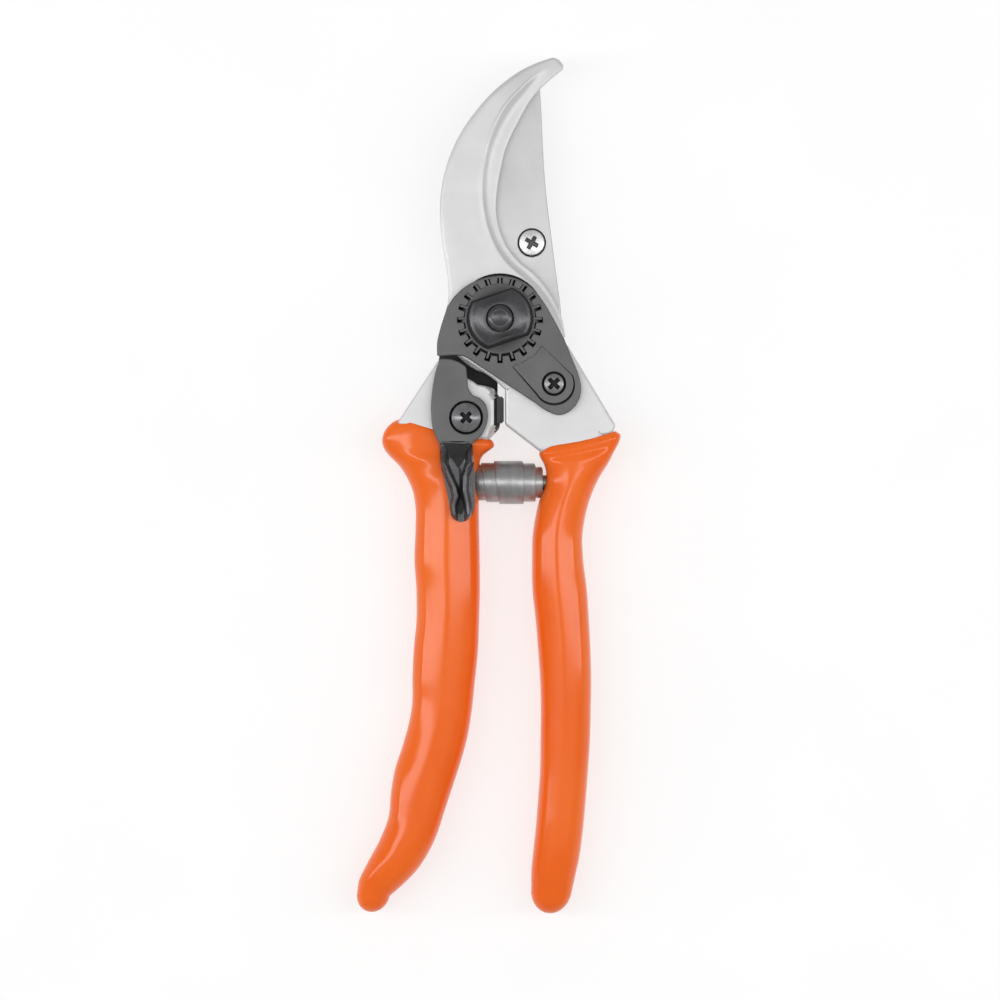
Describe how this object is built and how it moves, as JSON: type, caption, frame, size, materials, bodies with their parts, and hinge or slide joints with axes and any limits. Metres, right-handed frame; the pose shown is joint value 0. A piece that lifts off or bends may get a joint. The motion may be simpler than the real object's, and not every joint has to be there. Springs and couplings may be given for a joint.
{
  "type": "pruning shears",
  "caption": "Bypass pruning shears with a hooked counter blade, curved cutting blade, toothed pivot lock, thumb catch, volute spring and dipped handles.",
  "frame": {"origin": "on the pivot axis, in the plane of the bolt head's underside that the shears rest on", "axes": "+Z along the pivot towards the nut, +Y from the pivot along the blade, +X towards the blade's straight spine"},
  "size_m": [0.0665, 0.2145, 0.0193],
  "materials": {
    "satin_forged": "cast and satin coated, near white",
    "ground_blade": "satin ground blade steel",
    "orange_dip": "glossy dipped vinyl",
    "dark_plate": "satin dark grey coating",
    "black_oxide": "blackened steel, slightly oily",
    "bright_screw": "bright zinc screw",
    "spring_steel": "rolled bright spring strip",
    "bush_brass": "turned bush",
    "black_rubber": "moulded rubber stop"
  },
  "bodies": {
    "hook_handle": {"hook_forging": "satin_forged", "right_grip": "orange_dip", "lock_plate": "dark_plate", "lock_segment": "dark_plate", "segment_screw": "black_oxide", "pivot_nut": "black_oxide", "pivot_bolt": "black_oxide", "thrust_washer": "bright_screw", "right_spring_peg": "spring_steel", "volute_spring": "spring_steel"},
    "blade_handle": {"blade_forging": "satin_forged", "blade": "ground_blade", "blade_screw": "bright_screw", "pivot_bush": "bush_brass", "left_grip": "orange_dip", "catch_screw": "black_oxide", "catch_washer": "dark_plate", "left_spring_peg": "spring_steel", "stop_cushion": "black_rubber"},
    "catch": {"catch_lever": "dark_plate"}
  },
  "joints": [
    {"name": "main_pivot", "type": "hinge", "parent": "hook_handle", "child": "blade_handle", "pos_m": [0, 0, 0], "axis": [0, 0, -1], "range_deg": [0, 27], "deforming": ["volute_spring"]},
    {"name": "catch_pivot", "type": "hinge", "parent": "blade_handle", "child": "catch", "pos_m": [-0.00845, -0.0247, 0.0154], "axis": [0, 0, 1], "range_deg": [0, 37.8]}
  ],
  "couplings": [
    {"joint": "catch_pivot", "follows": "main_pivot", "ratio": 1.4}
  ]
}
